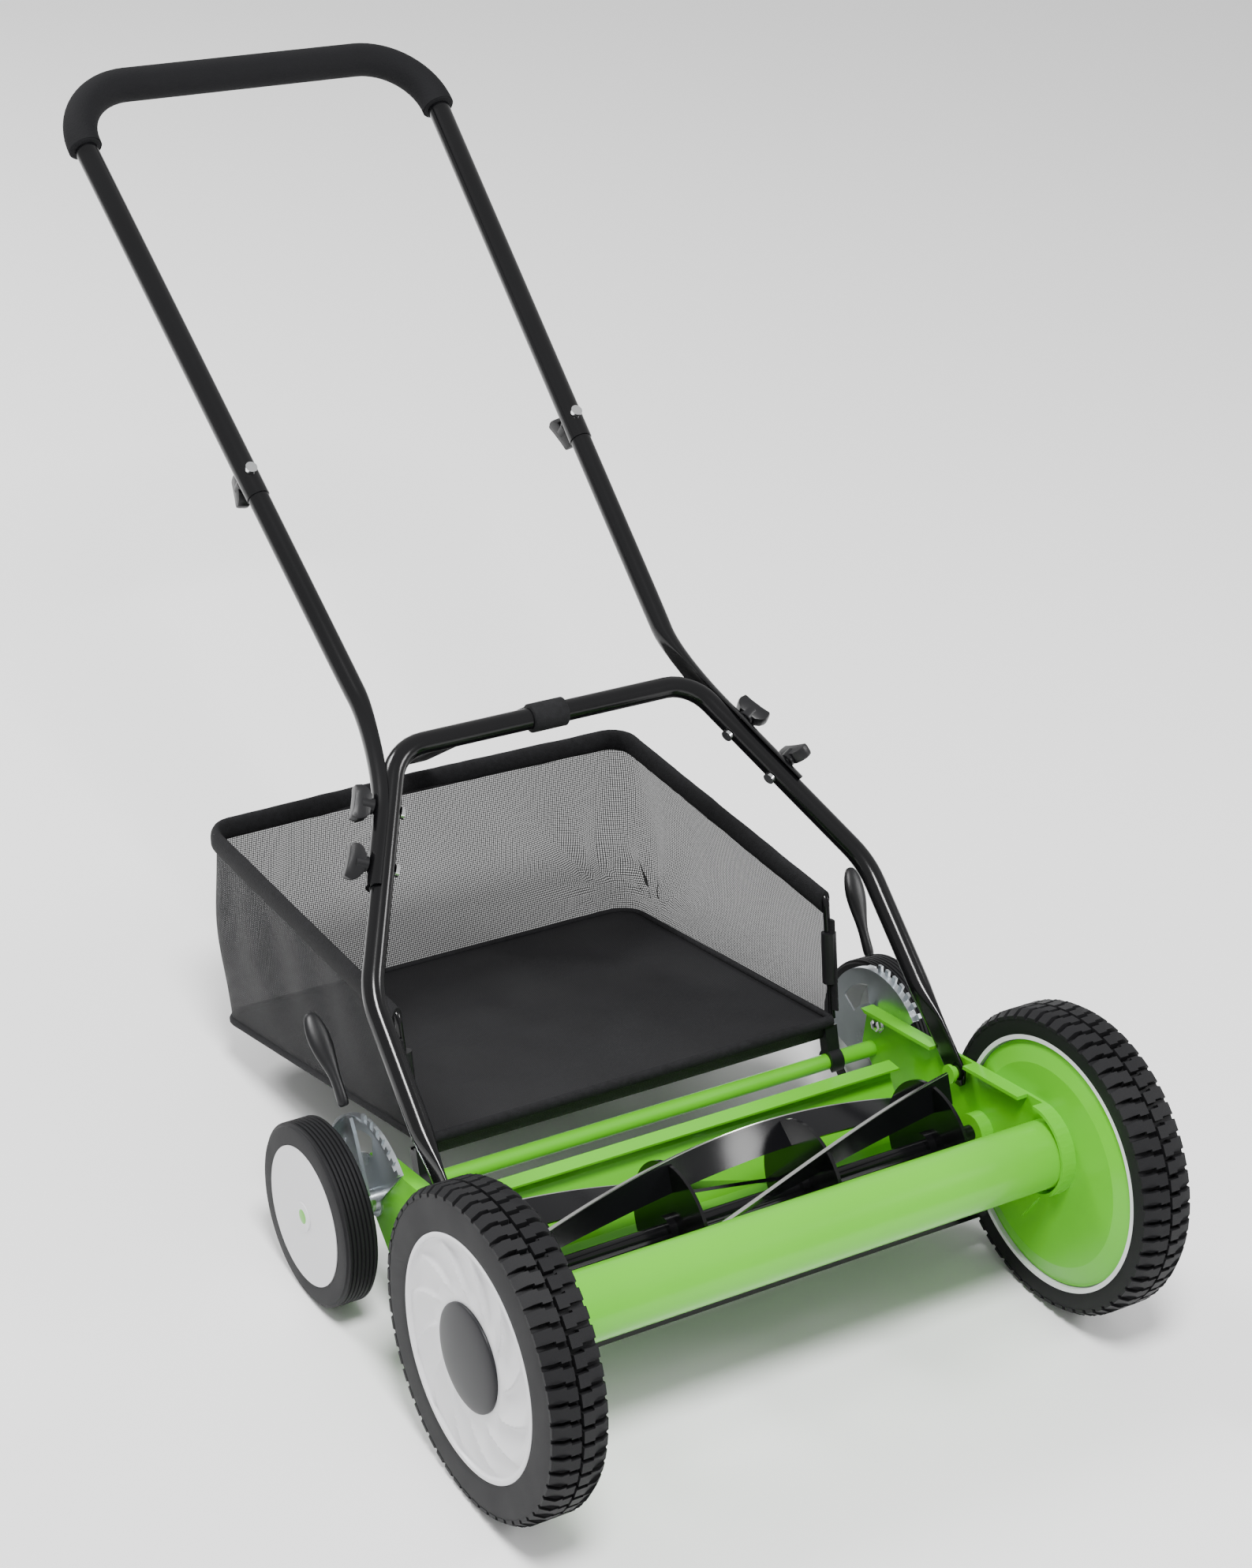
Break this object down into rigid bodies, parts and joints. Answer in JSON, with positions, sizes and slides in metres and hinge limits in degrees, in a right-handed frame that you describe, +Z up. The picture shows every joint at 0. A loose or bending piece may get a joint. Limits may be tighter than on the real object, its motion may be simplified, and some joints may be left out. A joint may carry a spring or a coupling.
{
  "type": "reel mower",
  "caption": "Push reel mower with a helical cutting reel geared to its front wheels, height levers, a U-shaped push handle and a rear grass catcher.",
  "frame": {"origin": "on the ground, under the middle of the mower's length and width", "axes": "+Z up, +Y from the front wheels towards the push handle, X along the front axle"},
  "size_m": [0.58, 1.1405, 0.7576],
  "materials": {
    "green_paint": "gloss",
    "black_paint": "gloss",
    "blade_steel": "satin",
    "zinc": "satin",
    "bolt_chrome": "polished",
    "tyre_rubber": "matt",
    "wheel_white": "satin",
    "cap_grey": "satin",
    "black_plastic": "satin",
    "foam": "matt",
    "woven_black": "matt",
    "mesh_grey": "matt"
  },
  "bodies": {
    "frame": {"side_plate_left": "green_paint", "side_plate_right": "green_paint", "front_tube": "green_paint", "tie_rod": "green_paint", "rear_deflector": "green_paint", "cutter_bar": "black_paint", "bed_knife": "zinc", "bed_screws": "bolt_chrome", "gear_cover_left": "green_paint", "gear_cover_right": "green_paint", "reel_bearing_left": "green_paint", "reel_bearing_right": "green_paint", "front_axle_left": "zinc", "front_axle_right": "zinc", "handle_pins": "green_paint", "quadrant_left": "zinc", "quadrant_right": "zinc", "quadrant_bolts": "bolt_chrome"},
    "front_wheel_left": {"front_tyre_left": "tyre_rubber", "front_hub_left": "wheel_white", "hub_cap_left": "cap_grey"},
    "front_wheel_right": {"front_tyre_right": "tyre_rubber", "front_hub_right": "wheel_white", "hub_cap_right": "cap_grey"},
    "reel": {"reel_shaft": "black_paint", "reel_spiders": "black_paint", "reel_blade_1": "blade_steel", "reel_blade_2": "blade_steel", "reel_blade_3": "blade_steel", "reel_blade_4": "blade_steel", "reel_blade_5": "blade_steel", "reel_pinions": "zinc"},
    "height_lever_left": {"height_lever_left": "zinc", "lever_grip_left": "black_plastic"},
    "height_lever_right": {"height_lever_right": "zinc", "lever_grip_right": "black_plastic"},
    "rear_wheel_left": {"rear_tyre_left": "tyre_rubber", "rear_disc_left": "wheel_white"},
    "rear_wheel_right": {"rear_tyre_right": "tyre_rubber", "rear_disc_right": "wheel_white"},
    "handle": {"lower_handle": "black_paint", "middle_tube_left": "black_paint", "middle_tube_right": "black_paint", "upper_handle": "black_paint", "foam_grip": "foam", "lower_bolts": "bolt_chrome", "upper_bolts": "bolt_chrome"},
    "catcher": {"catcher_wire": "black_paint", "catcher_base": "woven_black", "catcher_mesh": "mesh_grey", "catcher_hooks": "black_plastic"},
    "strap": {"catcher_strap": "woven_black"},
    "lower_knob_left_1": {"lower_knob_left_1": "black_plastic"},
    "lower_knob_left_2": {"lower_knob_left_2": "black_plastic"},
    "lower_knob_right_1": {"lower_knob_right_1": "black_plastic"},
    "lower_knob_right_2": {"lower_knob_right_2": "black_plastic"},
    "upper_knob_left": {"upper_knob_left": "black_plastic"},
    "upper_knob_right": {"upper_knob_right": "black_plastic"}
  },
  "joints": [
    {"name": "reel_spin", "type": "hinge", "parent": "frame", "child": "reel", "pos_m": [0, -0.36668, 0.11212], "axis": [1, 0, 0], "continuous": true},
    {"name": "front_wheel_left_spin", "type": "hinge", "parent": "frame", "child": "front_wheel_left", "pos_m": [-0.264, -0.44325, 0.127], "axis": [1, 0, 0], "continuous": true},
    {"name": "front_wheel_right_spin", "type": "hinge", "parent": "frame", "child": "front_wheel_right", "pos_m": [0.264, -0.44325, 0.127], "axis": [1, 0, 0], "continuous": true},
    {"name": "height_lever_left_tilt", "type": "hinge", "parent": "frame", "child": "height_lever_left", "pos_m": [-0.2505, -0.21325, 0.096], "axis": [1, 0, 0], "range_deg": [0, 58]},
    {"name": "rear_wheel_left_spin", "type": "hinge", "parent": "height_lever_left", "child": "rear_wheel_left", "pos_m": [-0.274, -0.18525, 0.0753], "axis": [1, 0, 0], "continuous": true},
    {"name": "height_lever_right_tilt", "type": "hinge", "parent": "frame", "child": "height_lever_right", "pos_m": [0.2505, -0.21325, 0.096], "axis": [1, 0, 0], "range_deg": [0, 58]},
    {"name": "rear_wheel_right_spin", "type": "hinge", "parent": "height_lever_right", "child": "rear_wheel_right", "pos_m": [0.274, -0.18525, 0.0753], "axis": [1, 0, 0], "continuous": true},
    {"name": "handle_fold", "type": "hinge", "parent": "frame", "child": "handle", "pos_m": [0, -0.33045, 0.1476], "axis": [1, 0, 0], "range_deg": [0, 30]},
    {"name": "catcher_swing", "type": "hinge", "parent": "frame", "child": "catcher", "pos_m": [0, -0.21325, 0.096], "axis": [1, 0, 0], "range_deg": [0, 32]},
    {"name": "strap_swing", "type": "hinge", "parent": "handle", "child": "strap", "pos_m": [0, -0.03225, 0.384], "axis": [1, 0, 0], "range_deg": [-13, 0]},
    {"name": "lower_knob_left_1_turn", "type": "hinge", "parent": "handle", "child": "lower_knob_left_1", "pos_m": [-0.16295, -0.06998, 0.35369], "axis": [-0.8962, 0.3398, 0.2852], "continuous": true},
    {"name": "lower_knob_left_2_turn", "type": "hinge", "parent": "handle", "child": "lower_knob_left_2", "pos_m": [-0.18513, -0.10491, 0.32561], "axis": [-0.8962, 0.3398, 0.2852], "continuous": true},
    {"name": "upper_knob_left_turn", "type": "hinge", "parent": "handle", "child": "upper_knob_left", "pos_m": [-0.1557, 0.20886, 0.52217], "axis": [0, 0.5367, -0.8438], "continuous": true},
    {"name": "lower_knob_right_1_turn", "type": "hinge", "parent": "handle", "child": "lower_knob_right_1", "pos_m": [0.16295, -0.06998, 0.35369], "axis": [0.8962, 0.3398, 0.2852], "continuous": true},
    {"name": "lower_knob_right_2_turn", "type": "hinge", "parent": "handle", "child": "lower_knob_right_2", "pos_m": [0.18513, -0.10491, 0.32561], "axis": [0.8962, 0.3398, 0.2852], "continuous": true},
    {"name": "upper_knob_right_turn", "type": "hinge", "parent": "handle", "child": "upper_knob_right", "pos_m": [0.1557, 0.20886, 0.52217], "axis": [0, 0.5367, -0.8438], "continuous": true}
  ],
  "couplings": [
    {"joint": "front_wheel_left_spin", "follows": "reel_spin", "ratio": 0.13333},
    {"joint": "front_wheel_right_spin", "follows": "reel_spin", "ratio": 0.13333},
    {"joint": "catcher_swing", "follows": "handle_fold", "ratio": 1.045},
    {"joint": "strap_swing", "follows": "handle_fold", "ratio": -0.42}
  ]
}
